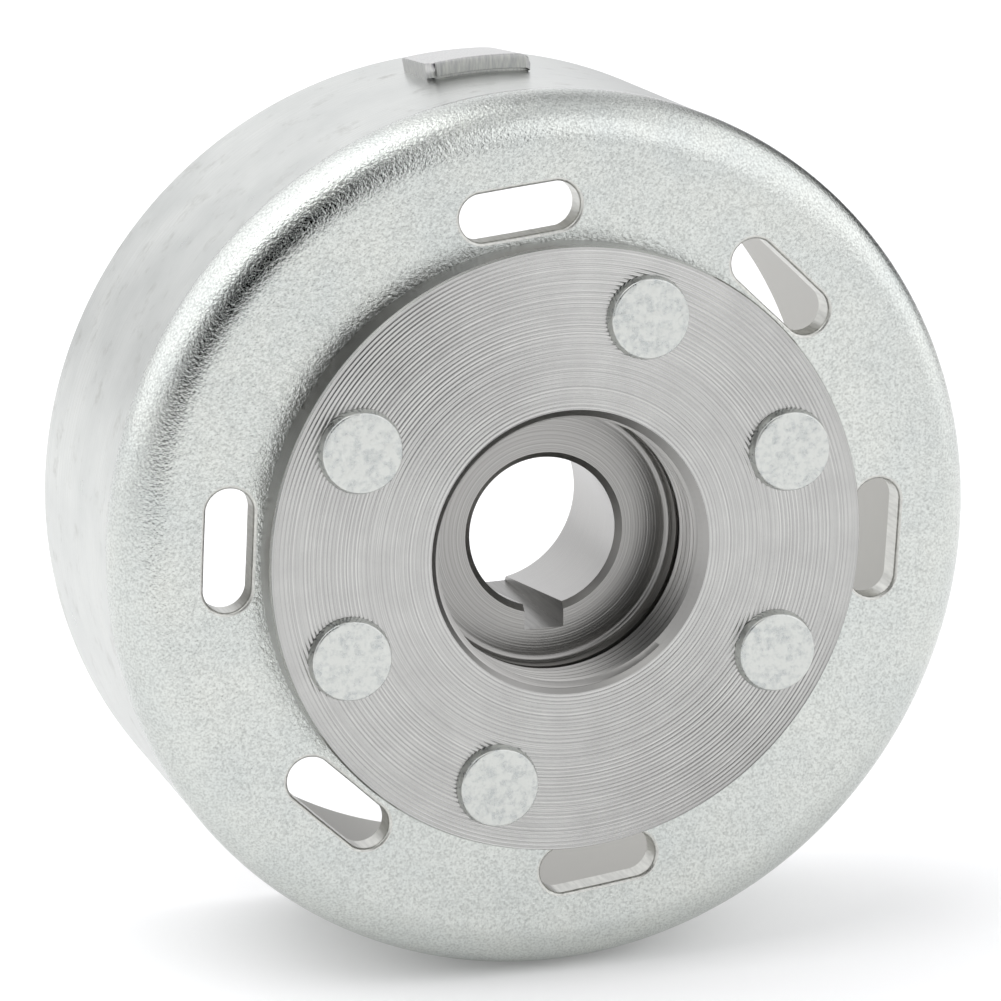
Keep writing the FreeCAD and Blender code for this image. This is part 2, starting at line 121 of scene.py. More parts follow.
def light_tent():
    """The world: an even light, with brighter zones for the lit walls and darker ones for the gaps."""
    world = bpy.data.worlds.new("light_tent")
    bpy.context.scene.world = world
    world.use_nodes = True
    tree = world.node_tree
    tree.nodes.clear()
    direction = add_node(tree, "ShaderNodeTexCoord", {}, {}).outputs["Generated"]
    # direction, reach and core in degrees, and what the zone adds to the even light
    zones = (
        ((-0.62, 0.30, 0.72), 48, 34, 0.80),
        ((0.90, -0.05, 0.40), 38, 20, 0.70),
        ((0.36, -0.78, 0.50), 32, 14, 0.75),
        ((0.20, 0.95, 0.22), 30, 14, 0.30),
        ((-0.44, -0.70, 0.56), 34, 14, -0.66),
        ((-0.20, -0.30, 0.93), 24, 8, -0.66),
        ((0.29, 0.40, 0.87), 18, 5, -0.40),
        ((0.68, 0.70, 0.15), 26, 12, -0.90),
        ((-0.15, -0.95, 0.25), 28, 10, -0.66),
    )
    glows = []
    for centre, reach, core, strength in zones:
        unit = Vector(centre).normalized()
        nearness = add_node(tree, "ShaderNodeVectorMath", {"operation": "DOT_PRODUCT", 1: unit},
                            {0: direction})
        zone = add_node(tree, "ShaderNodeMapRange", {
            "interpolation_type": "SMOOTHSTEP",
            "From Min": math.cos(math.radians(reach)),
            "From Max": math.cos(math.radians(core)),
            "To Min": 0.0,
            "To Max": strength,
        }, {"Value": nearness.outputs["Value"]})
        glows.append(zone.outputs[0])
    total = glows[0]
    for glow in glows[1:]:
        total = add_node(tree, "ShaderNodeMath", {"operation": "ADD"}, {0: total, 1: glow}).outputs[0]
    brightness = add_node(tree, "ShaderNodeMath", {"operation": "ADD", 1: EVEN_LIGHT},
                          {0: total}).outputs[0]
    lit = add_node(tree, "ShaderNodeBackground", {"Color": to_linear("#FDFDFF")}, {"Strength": brightness})
    add_node(tree, "ShaderNodeOutputWorld", {}, {"Surface": lit.outputs["Background"]})


def pale_floor():
    """Painted board: matte, nearly white, with a trace of unevenness in the paint."""
    material, tree = new_material("painted_board")
    place = add_node(tree, "ShaderNodeTexCoord", {}, {}).outputs["Object"]
    clouds = add_node(tree, "ShaderNodeTexNoise", {"Scale": 3.0, "Detail": 2.0}, {"Vector": place})
    colour = add_node(tree, "ShaderNodeMix", {
        "data_type": "RGBA", 6: to_linear("#F6F6F6"), 7: to_linear("#F9F9F9"),
    }, {0: clouds.outputs["Fac"]})
    finish_material(tree, {
        "Roughness": 0.9, "Specular IOR Level": 0.1,
        "Emission Color": to_linear("#FFFFFF"), "Emission Strength": FLOOR_GLOW,
    }, {"Base Color": colour.outputs[2]})
    return material


light_tent()
bpy.ops.object.select_all(action="DESELECT")
bpy.ops.mesh.primitive_plane_add(size=FLOOR_SIZE, location=(0, 0, cad_low.z))
floor = bpy.context.object
floor.name = "floor"
bpy.ops.object.transform_apply(location=True, rotation=True, scale=True)
floor.data.materials.append(pale_floor())

lamp_turn = (math.radians(-12), math.radians(-20), 0)
bpy.ops.object.light_add(type="AREA", location=(-0.5, -0.3, 1.3), rotation=lamp_turn)
overhead = bpy.context.object
overhead.data.shape = "DISK"
overhead.data.size = LAMP_SIZE
overhead.data.energy = LAMP_POWER


# ---- Hub ----------------------------------------------------------------------------------------
# Turned from steel bar and left bare.  The facing cut leaves a shallow round-nosed groove for each
# turn of feed on the flange; the puller thread, the nut seat and the taper bore are cut after it.
hub_low, hub_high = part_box("hub")
FLANGE_RADIUS = hub_high.x
FLANGE_DEPTH = 3.6 * MM
FLANGE_CHAMFER = 0.16 * MM
FLANGE_CHAMFER_DEPTH = 0.34 * MM
BOSS_RADIUS = 17.0 * MM
BOSS_END_RADIUS = 14.0 * MM
BOSS_SHOULDER = 13.0 * MM
BOSS_END = hub_high.y
BOSS_CHAMFER = 0.8 * MM
MOUTH_RADIUS = 13.95 * MM
THREAD_CREST = 12.96 * MM
THREAD_ROOT = 13.5 * MM
THREAD_PITCH = 1.0 * MM
THREAD_END = 6.1 * MM
RELIEF_RADIUS = 13.7 * MM
RELIEF_END = 6.8 * MM
SEAT_DEPTH = 8.7 * MM
SEAT_FILLET = 0.6 * MM
BORE_RADIUS = 7.45 * MM
BORE_EDGE = 0.6 * MM
BORE_TAPER = 5.0
BORE_EXIT_EDGE = 0.5 * MM
KEY_WIDTH = 4.0 * MM
KEY_FLOOR = 9.6 * MM
FEED_PITCH = 0.38 * MM
SEAT_FEED = 0.27 * MM
THREAD_START = -0.3 * MM
THREAD_FOOT = 0.84 * MM
THREAD_FLAT = 0.13 * MM
THREAD_TURNS = 7
THREAD_SINK = 0.01 * MM
THREAD_HOLD = 0.05 * MM
RIVET_ANGLES = (-28.4, 21.6, 71.6, 151.6, 201.6, 251.6)
RIVET_CIRCLE = 23.7 * MM
RIVET_SHANK = 2.8 * MM
HUB_STEPS = 256
THREAD_STEPS = 128
DRILL_STEPS = 48
MERGE = 0.001 * MM


def circle_arc(centre, radius, start, end, count):
    """Points of an arc in an outline, from one angle to another in degrees."""
    angles = [math.radians(start + (end - start) * index / count) for index in range(count + 1)]
    return [(centre[0] + radius * math.cos(a), centre[1] + radius * math.sin(a)) for a in angles]


def feed_marks(start, end, pitch, cut):
    """Points of a turned face from one radius to another: one hollow, cut(share) deep, a turn."""
    count = round((end[0] - start[0]) / pitch)
    points = []
    for turn in range(count):
        depth = cut(turn / count)
        for quarter in range(4):
            share = (turn + quarter / 4) / count
            hollow = depth * (1 - (quarter / 2 - 1) ** 2)
            points.append((start[0] + (end[0] - start[0]) * share, start[1] + hollow))
    return points + [end]


def select_only(piece):
    """Make this the only selected object, and the active one."""
    bpy.ops.object.select_all(action="DESELECT")
    piece.select_set(True)
    bpy.context.view_layer.objects.active = piece


def open_piece(piece):
    """Go into a piece's edit mode with everything selected."""
    select_only(piece)
    bpy.ops.object.mode_set(mode="EDIT")
    bpy.ops.mesh.select_all(action="SELECT")


def apply_modifier(piece, kind, settings):
    """Add a modifier with its settings, and apply it."""
    modifier = piece.modifiers.new(kind.lower(), kind)
    for name, value in settings.items():
        setattr(modifier, name, value)
    bpy.context.view_layer.objects.active = piece
    bpy.ops.object.modifier_apply(modifier=modifier.name)


def fix_in_place(piece):
    """Apply a piece's own move, turn and scale to its mesh."""
    select_only(piece)
    bpy.ops.object.transform_apply(location=True, rotation=True, scale=True)


def move_out(piece, radius, angle, turn):
    """Move a piece out from the crankshaft axis at an angle, turned in itself, both in degrees."""
    piece.location = (radius * math.cos(math.radians(angle)), 0, radius * math.sin(math.radians(angle)))
    piece.rotation_euler = (0, math.radians(turn), 0)
    fix_in_place(piece)


def draw_outline(name, outline):
    """Extrude an outline (radius, depth) from its first corner; the piece stays in edit mode."""
    radius, depth = outline[0]
    bpy.ops.object.select_all(action="DESELECT")
    bpy.ops.mesh.primitive_plane_add(size=MM, location=(radius, depth, 0))
    piece = bpy.context.object
    piece.name = name
    piece.data.name = name
    fix_in_place(piece)
    open_piece(piece)
    bpy.ops.mesh.merge(type="CENTER")
    for (radius, depth), (next_radius, next_depth) in zip(outline, outline[1:]):
        step = (next_radius - radius, next_depth - depth, 0)
        bpy.ops.mesh.extrude_region_move(TRANSFORM_OT_translate={"value": step})
    bpy.ops.mesh.select_all(action="SELECT")
    bpy.ops.mesh.remove_doubles(threshold=MERGE)
    return piece


def turned(name, outline, steps):
    """Turn an outline about the Y axis; a closed outline ends on its first corner."""
    piece = draw_outline(name, outline)
    bpy.ops.object.mode_set(mode="OBJECT")
    apply_modifier(piece, "SCREW", {
        "axis": "Y", "steps": steps, "render_steps": steps,
        "use_merge_vertices": True, "merge_threshold": MERGE,
    })
    open_piece(piece)
    bpy.ops.mesh.remove_doubles(threshold=MERGE)
    bpy.ops.mesh.normals_make_consistent(inside=False)
    bpy.ops.object.mode_set(mode="OBJECT")
    return piece


def cut_away(piece, cutter):
    """Take the cutter's shape out of a piece; its faces bring their own material."""
    apply_modifier(piece, "BOOLEAN", {
        "operation": "DIFFERENCE", "solver": "EXACT", "object": cutter, "material_mode": "TRANSFER",
    })
    bpy.data.objects.remove(cutter)
    open_piece(piece)
    bpy.ops.mesh.remove_doubles(threshold=MERGE)
    bpy.ops.object.mode_set(mode="OBJECT")


def smooth(piece, degrees):
    """Smooth shading below an angle, with the normals of the large faces leading."""
    select_only(piece)
    bpy.ops.object.shade_smooth_by_angle(angle=math.radians(degrees))
    apply_modifier(piece, "WEIGHTED_NORMAL", {"weight": 90, "keep_sharp": True})


def place_in_mm(tree):
    """The place on a piece, in millimetres."""
    place = add_node(tree, "ShaderNodeTexCoord", {}, {}).outputs["Object"]
    return add_node(tree, "ShaderNodeMapping", {"Scale": (1000, 1000, 1000)}, {"Vector": place}).outputs[0]


def along_outline(tree, place):
    """Distance along the outline of a turned surface: radius and depth added up."""
    flat = add_node(tree, "ShaderNodeVectorMath", {"operation": "MULTIPLY", 1: (1, 0, 1)}, {0: place})
    radius = add_node(tree, "ShaderNodeVectorMath", {"operation": "LENGTH"}, {0: flat.outputs[0]})
    parts = add_node(tree, "ShaderNodeSeparateXYZ", {}, {0: place})
    along = add_node(tree, "ShaderNodeMath", {"operation": "ADD"},
                     {0: radius.outputs["Value"], 1: parts.outputs["Y"]})
    return along.outputs[0]


def contrast(tree, pattern, low, high):
    """Stretch the middle of a noise pattern to run from 0 to 1."""
    return add_node(tree, "ShaderNodeMapRange", {"From Min": low, "From Max": high},
                    {"Value": pattern}).outputs[0]


def turned_steel(name, dark, light, least_rough, most_rough):
    """Carbon steel, turned and bare: a cool grey with fine rings of lighter and darker metal, and painted
    shade in the hollow of each turn of feed.
    """
    material, tree = new_material(name)
    place = place_in_mm(tree)
    along = along_outline(tree, place)
    # rings of feed, 0.13 mm apart
    rings = add_node(tree, "ShaderNodeTexNoise", {
        "noise_dimensions": "1D", "Scale": 7.5, "Detail": 2.0, "Roughness": 0.6}, {"W": along})
    # stain and handling, about 4 mm across
    clouds = add_node(tree, "ShaderNodeTexNoise", {"Scale": 0.25, "Detail": 4.0, "Roughness": 0.6},
                      {"Vector": place})
    ring_colour = add_node(tree, "ShaderNodeMix", {
        "data_type": "RGBA", 6: to_linear(dark), 7: to_linear(light)},
        {0: contrast(tree, rings.outputs["Fac"], 0.34, 0.66)})
    # painted shade: one hollow for each turn of feed, painted a little darker than the ridge beside it
    turns = add_node(tree, "ShaderNodeMath", {"operation": "MULTIPLY", 1: 2 * math.pi / (FEED_PITCH / MM)},
                     {0: along})
    hollows = add_node(tree, "ShaderNodeMath", {"operation": "SINE"}, {0: turns.outputs[0]})
    ring_colour = add_node(tree, "ShaderNodeMix", {"data_type": "RGBA", "blend_type": "MULTIPLY", 0: 0.16}, {
        6: ring_colour.outputs[2], 7: contrast(tree, hollows.outputs[0], -1.0, 1.0)})
    stain = add_node(tree, "ShaderNodeMapRange", {
        "From Min": 0.3, "From Max": 0.7, "To Min": 0.0, "To Max": 0.30}, {"Value": clouds.outputs["Fac"]})
    colour = add_node(tree, "ShaderNodeMix", {"data_type": "RGBA", 7: to_linear("#949392")},
                      {0: stain.outputs[0], 6: ring_colour.outputs[2]})
    roughness = add_node(tree, "ShaderNodeMapRange", {"To Min": least_rough, "To Max": most_rough},
                         {"Value": rings.outputs["Fac"]})
    bump = add_node(tree, "ShaderNodeBump", {"Strength": 0.35, "Distance": 0.01 * MM},
                    {"Height": rings.outputs["Fac"]})
    around = add_node(tree, "ShaderNodeTangent", {"direction_type": "RADIAL", "axis": "Y"}, {})
    finish_material(tree, {"Metallic": 1.0, "Anisotropic": 0.5}, {
        "Base Color": colour.outputs[2], "Roughness": roughness.outputs[0],
        "Normal": bump.outputs[0], "Tangent": around.outputs[0]})
    return material


def hub_outline():
    """Outline of the hub, from the mouth of the recess round the boss and back through the bore."""
    draw = random.Random(7)
    cut = {"face": lambda share: (0.030 + 0.018 * share ** 2) * draw.uniform(0.85, 1.15) * MM,
           "seat": lambda share: 0.006 * draw.uniform(0.5, 1.3) * MM}
    seat_edge = THREAD_CREST - SEAT_FILLET
    bore_end_radius = BORE_RADIUS + (BOSS_END - BORE_EXIT_EDGE - SEAT_DEPTH - BORE_EDGE) / BORE_TAPER / 2
    return [
        *feed_marks((MOUTH_RADIUS, 0), (FLANGE_RADIUS - FLANGE_CHAMFER, 0), FEED_PITCH, cut["face"]),
        (FLANGE_RADIUS, FLANGE_CHAMFER_DEPTH),
        (FLANGE_RADIUS, FLANGE_DEPTH),
        (BOSS_RADIUS, FLANGE_DEPTH),
        (BOSS_RADIUS, BOSS_SHOULDER),
        (BOSS_END_RADIUS, BOSS_SHOULDER + BOSS_RADIUS - BOSS_END_RADIUS),
        (BOSS_END_RADIUS, BOSS_END - BOSS_CHAMFER),
        (BOSS_END_RADIUS - BOSS_CHAMFER, BOSS_END),
        (bore_end_radius + BORE_EXIT_EDGE, BOSS_END),
        (bore_end_radius, BOSS_END - BORE_EXIT_EDGE),
        (BORE_RADIUS, SEAT_DEPTH + BORE_EDGE),
        *feed_marks((BORE_RADIUS + BORE_EDGE, SEAT_DEPTH), (seat_edge, SEAT_DEPTH), SEAT_FEED, cut["seat"]),
        *circle_arc((seat_edge, SEAT_DEPTH - SEAT_FILLET), SEAT_FILLET, 90, 0, 6)[1:],
        (THREAD_CREST, RELIEF_END),
        (RELIEF_RADIUS, RELIEF_END),
        (RELIEF_RADIUS, THREAD_END),
        (THREAD_ROOT, THREAD_END),
        (THREAD_ROOT, MOUTH_RADIUS - THREAD_ROOT),
        (MOUTH_RADIUS, 0),
    ]


def key_cutter():
    """The broach that cuts the key slot, from the axis down to its floor."""
    bpy.ops.object.select_all(action="DESELECT")
    bpy.ops.mesh.primitive_cube_add(size=1)
    broach = bpy.context.object
    broach.scale = (KEY_WIDTH, BOSS_END + 2 * MM, KEY_FLOOR)
    broach.location = (0, BOSS_END / 2, -KEY_FLOOR / 2)
    fix_in_place(broach)
    return broach


def rivet_drill(angle):
    """The drill for one rivet, which goes through the flange and the cup."""
    radius = RIVET_SHANK
    above, below = -1 * MM, FLANGE_DEPTH + 4 * MM
    drill = turned("rivet_drill", [(0, above), (radius, above), (radius, below), (0, below)], DRILL_STEPS)
    move_out(drill, RIVET_CIRCLE, angle, -angle)
    return drill


def thread_ridge():
    """The ridge of the puller thread, wound right-handed, and cut off by the mouth and the relief."""
    foot = THREAD_ROOT + THREAD_HOLD
    bpy.ops.object.select_all(action="DESELECT")
    bpy.ops.mesh.primitive_plane_add(size=1, location=((foot + THREAD_CREST) / 2, THREAD_START, 0))
    ridge = bpy.context.object
    ridge.name = ridge.data.name = "puller_thread"
    ridge.scale = (foot - THREAD_CREST, THREAD_FOOT, 1)
    fix_in_place(ridge)
    for vertex in ridge.data.vertices:
        if vertex.co.x < (foot + THREAD_CREST) / 2:
            vertex.co.y = THREAD_START + (vertex.co.y - THREAD_START) * THREAD_FLAT / THREAD_FOOT
    apply_modifier(ridge, "SCREW", {
        "axis": "Y", "steps": THREAD_STEPS, "render_steps": THREAD_STEPS, "iterations": THREAD_TURNS,
        "screw_offset": THREAD_PITCH, "use_merge_vertices": False,
    })
    open_piece(ridge)
    bpy.ops.mesh.remove_doubles(threshold=MERGE)
    bpy.ops.mesh.select_all(action="DESELECT")
    bpy.ops.mesh.select_mode(type="EDGE")
    bpy.ops.mesh.select_non_manifold()
    bpy.ops.mesh.edge_face_add()
    bpy.ops.mesh.select_all(action="SELECT")
    bpy.ops.mesh.normals_make_consistent(inside=False)
    bpy.ops.mesh.select_mode(type="VERT")
    bpy.ops.object.mode_set(mode="OBJECT")
    # the room between the chamfer of the mouth and the relief groove, a hair inside both
    inner, outer = THREAD_CREST - 2 * MM, THREAD_ROOT + 1 * MM
    end = THREAD_END - THREAD_SINK
    room = turned("thread_room", [
        (inner, MOUTH_RADIUS + THREAD_SINK - inner),
        (outer, MOUTH_RADIUS + THREAD_SINK - outer),
        (outer, end),
        (inner, end),
        (inner, MOUTH_RADIUS + THREAD_SINK - inner),
    ], THREAD_STEPS)
    apply_modifier(ridge, "BOOLEAN", {"operation": "INTERSECT", "solver": "EXACT", "object": room})
    bpy.data.objects.remove(room)
    return ridge


def broached_steel():
    """Key slot, broached: darker steel with straight scores along the pull."""
    material, tree = new_material("broached_carbon_steel")
    place = place_in_mm(tree)
    pull = add_node(tree, "ShaderNodeMapping", {"Scale": (1.0, 0.04, 1.0)}, {"Vector": place})
    scores = add_node(tree, "ShaderNodeTexNoise", {"Scale": 4.0, "Detail": 3.0},
                      {"Vector": pull.outputs[0]})
    colour = add_node(tree, "ShaderNodeMix", {
        "data_type": "RGBA", 6: to_linear("#666563"), 7: to_linear("#A5A4A1")}, {0: scores.outputs["Fac"]})
    bump = add_node(tree, "ShaderNodeBump", {"Strength": 0.4, "Distance": 0.03 * MM},
                    {"Height": scores.outputs["Fac"]})
    finish_material(tree, {"Metallic": 1.0, "Roughness": 0.34}, {
        "Base Color": colour.outputs[2], "Normal": bump.outputs[0]})
    return material


face_steel = turned_steel("faced_carbon_steel", "#AAAAA8", "#CACAC7", 0.14, 0.26)
# painted shade: a darker copy of the turned steel, for the recess, thread, boss and the flange's side wall,
# where shade falls; its rougher finish is that of the bore
bored_steel = turned_steel("bored_carbon_steel", "#969592", "#B0AFAC", 0.26, 0.38)
hub = turned("hub_turned", hub_outline(), HUB_STEPS)
hub.data.materials.append(face_steel)
hub.data.materials.append(bored_steel)
# painted shade: every face behind the front face, bar the flange chamfer, takes the darker copy, the
# flange's side wall and the recess among them
for face in hub.data.polygons:
    radius = math.hypot(face.center.x, face.center.z)
    if face.center.y > 0.1 * MM and not MOUTH_RADIUS < radius < FLANGE_RADIUS - 0.01 * MM:
        face.material_index = 1
broach = key_cutter()
broach.data.materials.append(broached_steel())
cut_away(hub, broach)
for angle in RIVET_ANGLES:
    cut_away(hub, rivet_drill(angle))
smooth(hub, 20)
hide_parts("hub")
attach(hub, "root")

thread = thread_ridge()
# painted shade: the thread takes the darker copy of the steel
thread.data.materials.append(bored_steel)
smooth(thread, 35)
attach(thread, "root")


# ---- Cup ----------------------------------------------------------------------------------------
# Drawn from 2.6 mm sheet with a rolled corner, then the wall and rim are turned, the slots and
# holes are punched, and the whole is zinc plated.  The plating keeps the grain of the sheet.
cup_low, cup_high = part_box("rotor_cup")
RIM_RADIUS = 44.0 * MM
WALL_RADIUS = 43.5 * MM
SHEET = 2.6 * MM
CORNER = 4.8 * MM
CUP_DEPTH = cup_high.y
CUP_FLOOR = FLANGE_DEPTH + SHEET
MAGNET_SEAT = 41.2 * MM
RIM_CHAMFER = 0.4 * MM
TURNED_STEP = 0.05 * MM
SLOT_ANGLES = (-2.9, 47.1, 97.1, 177.1, 227.1, 277.1)
SLOT_CIRCLE = 32.8 * MM
SLOT_LENGTH = 12.0 * MM
SLOT_WIDTH = 4.65 * MM
PUNCH_ROLL = 0.35 * MM
CUP_STEPS = 288


def wall_radius(depth):
    """Outside of the cup wall at a depth: it widens a little towards the rim."""
    share = (depth - FLANGE_DEPTH) / (CUP_DEPTH - RIM_CHAMFER - FLANGE_DEPTH)
    return WALL_RADIUS + (RIM_RADIUS - WALL_RADIUS) * share


def cup_outline():
    """Outline of the cup: floor, rolled corner, turned wall, rim, and back along the inside."""
    inner_corner = CORNER - SHEET
    corner_end = FLANGE_DEPTH + CORNER
    corner_centre = (wall_radius(corner_end) - CORNER, corner_end)
    return [
        (BOSS_RADIUS, FLANGE_DEPTH),
        (FLANGE_RADIUS, FLANGE_DEPTH),
        (FLANGE_RADIUS + 1 * MM, FLANGE_DEPTH),
        (corner_centre[0] - 0.6 * MM, FLANGE_DEPTH),
        *circle_arc(corner_centre, CORNER, -90, 0, 20),
        (wall_radius(corner_end) - TURNED_STEP, corner_end + 2 * TURNED_STEP),
        (wall_radius(20 * MM) - TURNED_STEP, 20 * MM),
        (RIM_RADIUS, CUP_DEPTH - RIM_CHAMFER),
        (RIM_RADIUS - RIM_CHAMFER, CUP_DEPTH),
        (MAGNET_SEAT + RIM_CHAMFER, CUP_DEPTH),
        (MAGNET_SEAT, CUP_DEPTH - RIM_CHAMFER),
        *circle_arc((MAGNET_SEAT - inner_corner, CUP_FLOOR + inner_corner), inner_corner, 0, -90, 10),
        (MAGNET_SEAT - inner_corner - 0.5 * MM, CUP_FLOOR),
        (BOSS_RADIUS, CUP_FLOOR),
        (BOSS_RADIUS, FLANGE_DEPTH),
    ]


def slot_cutter(angle):
    """A round punch whose entry rolls the sheet over, pulled apart to the slot's length."""
    radius = SLOT_WIDTH / 2
    entry = circle_arc((radius + PUNCH_ROLL, FLANGE_DEPTH + PUNCH_ROLL), PUNCH_ROLL, 270, 180, 5)
    above = FLANGE_DEPTH - 1 * MM
    below = CUP_FLOOR + 1 * MM
    outline = [(0, above), (radius + PUNCH_ROLL, above), *entry, (radius, below), (0, below)]
    punch = turned("slot_punch", outline, DRILL_STEPS)
    stretch = (SLOT_LENGTH - SLOT_WIDTH) / 2
    for vertex in punch.data.vertices:
        if abs(vertex.co.z) > MERGE:
            vertex.co.z += math.copysign(stretch, vertex.co.z)
    move_out(punch, SLOT_CIRCLE, angle, -angle)
    return punch


def pressed_zinc():
    """Bright zinc on cold-rolled sheet: pale grey-green, satin, with a frosty grain."""
    material, tree = new_material("bright_zinc_on_pressed_steel")
    place = place_in_mm(tree)
    # grain of the pickled sheet, 0.3 mm across
    grain = add_node(tree, "ShaderNodeTexNoise", {"Scale": 3.2, "Detail": 3.0, "Roughness": 0.6},
                     {"Vector": place})
    # waves left by the press, 6 mm across
    clouds = add_node(tree, "ShaderNodeTexNoise", {"Scale": 0.16, "Detail": 3.0, "Roughness": 0.55},
                      {"Vector": place})
    colour = add_node(tree, "ShaderNodeMix", {
        "data_type": "RGBA", 6: to_linear("#C4C9C7"), 7: to_linear("#D6D8D2")}, {0: clouds.outputs["Fac"]})
    # crystals of the zinc, 0.2 mm across
    crystals = add_node(tree, "ShaderNodeTexNoise", {"Scale": 4.6, "Detail": 2.0}, {"Vector": place})
    colour = add_node(tree, "ShaderNodeMix", {"data_type": "RGBA", "blend_type": "MULTIPLY", 0: 0.38}, {
        6: colour.outputs[2], 7: contrast(tree, crystals.outputs["Fac"], 0.20, 0.60)})
    roughness = add_node(tree, "ShaderNodeMapRange", {"To Min": 0.10, "To Max": 0.24},
                         {"Value": grain.outputs["Fac"]})
    bump = add_node(tree, "ShaderNodeBump", {"Strength": 1.0, "Distance": 0.075 * MM},
                    {"Height": grain.outputs["Fac"]})
    finish_material(tree, {"Metallic": 1.0}, {
        "Base Color": colour.outputs[2], "Roughness": roughness.outputs[0], "Normal": bump.outputs[0]})
    return material


def turned_zinc():
    """Bright zinc on a turned wall: paler and smoother, with faint lines round it."""
    material, tree = new_material("bright_zinc_on_turned_steel")
    place = place_in_mm(tree)
    along = along_outline(tree, place)
    lines = add_node(tree, "ShaderNodeTexNoise", {
        "noise_dimensions": "1D", "Scale": 5.0, "Detail": 3.0, "Roughness": 0.6}, {"W": along})
    clouds = add_node(tree, "ShaderNodeTexNoise", {"Scale": 0.12, "Detail": 5.0, "Roughness": 0.6},
                      {"Vector": place})
    grain = add_node(tree, "ShaderNodeTexNoise", {"Scale": 2.5, "Detail": 3.0}, {"Vector": place})
    colour = add_node(tree, "ShaderNodeMix", {
        "data_type": "RGBA", 6: to_linear("#BBBEBB"), 7: to_linear("#D2D4D1")},
        {0: contrast(tree, clouds.outputs["Fac"], 0.30, 0.70)})
    # smudges from handling, a few millimetres long
    smudges = add_node(tree, "ShaderNodeTexNoise", {"Scale": 0.30, "Detail": 6.0, "Roughness": 0.7},
                       {"Vector": place})
    colour = add_node(tree, "ShaderNodeMix", {"data_type": "RGBA", 7: to_linear("#9C9D97")}, {
        0: contrast(tree, smudges.outputs["Fac"], 0.56, 0.80), 6: colour.outputs[2]})
    # rubbed lines round the wall, broken up by the clouds
    rubbed = add_node(tree, "ShaderNodeMath", {"operation": "MULTIPLY"}, {
        0: contrast(tree, lines.outputs["Fac"], 0.45, 0.70), 1: clouds.outputs["Fac"]})
    colour = add_node(tree, "ShaderNodeMix", {"data_type": "RGBA", 7: to_linear("#B0B1AC")}, {
        0: rubbed.outputs[0], 6: colour.outputs[2]})
    roughness = add_node(tree, "ShaderNodeMapRange", {"To Min": 0.22, "To Max": 0.40},
                         {"Value": clouds.outputs["Fac"]})
    line_bump = add_node(tree, "ShaderNodeBump", {"Strength": 0.3, "Distance": 0.01 * MM},
                         {"Height": lines.outputs["Fac"]})
    bump = add_node(tree, "ShaderNodeBump", {"Strength": 0.25, "Distance": 0.02 * MM},
                    {"Height": grain.outputs["Fac"], "Normal": line_bump.outputs[0]})
    finish_material(tree, {"Metallic": 1.0}, {
        "Base Color": colour.outputs[2], "Roughness": roughness.outputs[0], "Normal": bump.outputs[0]})
    return material


def punched_zinc():
    """Punched wall of a slot: sheared metal with furrows along the stroke, under thin zinc."""
    material, tree = new_material("zinc_on_punched_edge")
    place = place_in_mm(tree)
    stroke = add_node(tree, "ShaderNodeMapping", {"Scale": (1.0, 0.12, 1.0)}, {"Vector": place})
    furrows = add_node(tree, "ShaderNodeTexNoise", {"Scale": 3.5, "Detail": 3.0},
                       {"Vector": stroke.outputs[0]})
    colour = add_node(tree, "ShaderNodeMix", {
        "data_type": "RGBA", 6: to_linear("#A9AAA6"), 7: to_linear("#E0E0DA")}, {0: furrows.outputs["Fac"]})
    bump = add_node(tree, "ShaderNodeBump", {"Strength": 0.6, "Distance": 0.06 * MM},
                    {"Height": furrows.outputs["Fac"]})
    finish_material(tree, {"Metallic": 1.0, "Roughness": 0.36}, {
        "Base Color": colour.outputs[2], "Normal": bump.outputs[0]})
    return material


zinc_face = pressed_zinc()
zinc_wall = turned_zinc()
zinc_edge = punched_zinc()
cup = turned("cup_pressed", cup_outline(), CUP_STEPS)
cup.data.materials.append(zinc_face)
cup.data.materials.append(zinc_wall)
wall_start = FLANGE_DEPTH + CORNER
for face in cup.data.polygons:
    radius = math.hypot(face.center.x, face.center.z)
    if face.center.y > wall_start - MERGE and radius > MAGNET_SEAT - MERGE:
        face.material_index = 1
for angle in SLOT_ANGLES:
    punch = slot_cutter(angle)
    punch.data.materials.append(zinc_edge)
    cut_away(cup, punch)
for angle in RIVET_ANGLES:
    cut_away(cup, rivet_drill(angle))
smooth(cup, 30)
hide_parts("rotor_cup")
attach(cup, "root")


# ---- Rivets -------------------------------------------------------------------------------------
# Six steel rivets, zinc plated, driven flat: the outer head is a disc with a rounded edge, dented
# by the tool, and the tail inside the cup is upset over the sheet.
RIVET_HEAD = 4.1 * MM
RIVET_HEIGHT = 1.0 * MM
RIVET_ROUND = 0.2 * MM
RIVET_TAPER = 0.22 * MM
RIVET_TAIL = 4.5 * MM
RIVET_TAIL_HEIGHT = 1.8 * MM
RIVET_TAIL_ROUND = 0.6 * MM
RIVET_GAP = 0.02 * MM
RIVET_TURN = 40
RIVET_STEPS = 64


def rivet_outline():
    """Outline of a driven rivet: outer head, shank through both sheets, and the upset tail."""
    flat = RIVET_HEAD - RIVET_TAPER - RIVET_ROUND
    tail_end = CUP_FLOOR + RIVET_TAIL_HEIGHT
    tail_flat = RIVET_TAIL - RIVET_TAIL_ROUND
    return [
        *[(flat * ring / 10, -RIVET_HEIGHT) for ring in range(10)],
        *circle_arc((flat, RIVET_ROUND - RIVET_HEIGHT), RIVET_ROUND, 270, 345, 6),
        (RIVET_HEAD, -RIVET_GAP),
        (RIVET_SHANK, -RIVET_GAP),
        (RIVET_SHANK, CUP_FLOOR + RIVET_GAP),
        (RIVET_TAIL, CUP_FLOOR + RIVET_GAP),
        *circle_arc((tail_flat, tail_end - RIVET_TAIL_ROUND), RIVET_TAIL_ROUND, 0, 90, 6),
        (0, tail_end),
    ]


